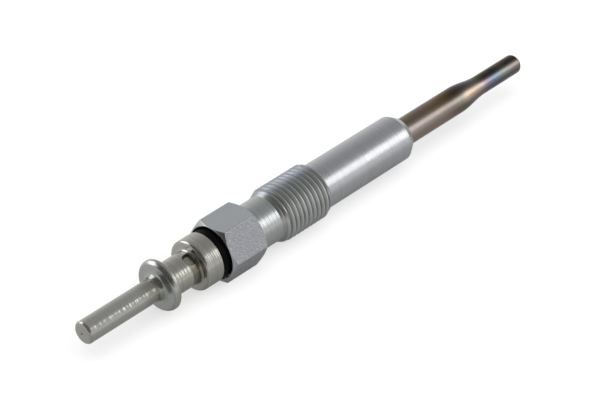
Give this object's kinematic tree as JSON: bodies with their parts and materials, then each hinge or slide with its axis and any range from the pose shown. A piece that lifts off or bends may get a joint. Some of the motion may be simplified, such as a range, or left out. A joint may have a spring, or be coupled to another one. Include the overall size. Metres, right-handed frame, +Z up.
{
  "type": "diesel glow plug",
  "caption": "Slim sheathed glow plug with a plug-in pin terminal, staked terminal nut, hexagon, fine thread, conical seat and tapered heater tube that preheats a diesel engine's cylinder.",
  "frame": {"origin": "on the axis, at the edge where the shank meets the sealing seat", "axes": "+X along the axis towards the glow tube's tip, +Z up out of the hexagon's upper flat"},
  "size_m": [0.1059, 0.0116, 0.01],
  "materials": {
    "plated_steel": "zinc plated, turned",
    "heat_tinted_alloy": "oxidised, heat tinted towards the tip",
    "coil_wire": "bare drawn wire",
    "magnesia": "packed powder",
    "seal_rubber": "matte",
    "stud_steel": "drawn bar",
    "black_insulator": "satin black moulding",
    "terminal_steel": "nickel plated, turned"
  },
  "bodies": {
    "root": {"housing": "plated_steel", "glow_tube": "heat_tinted_alloy", "heating_coil": "coil_wire", "regulating_coil": "coil_wire", "magnesia_fill": "magnesia", "tube_seal": "seal_rubber", "terminal_stud": "stud_steel", "seal_ring": "seal_rubber", "insulating_washer": "black_insulator", "terminal_nut": "terminal_steel"}
  },
  "joints": []
}
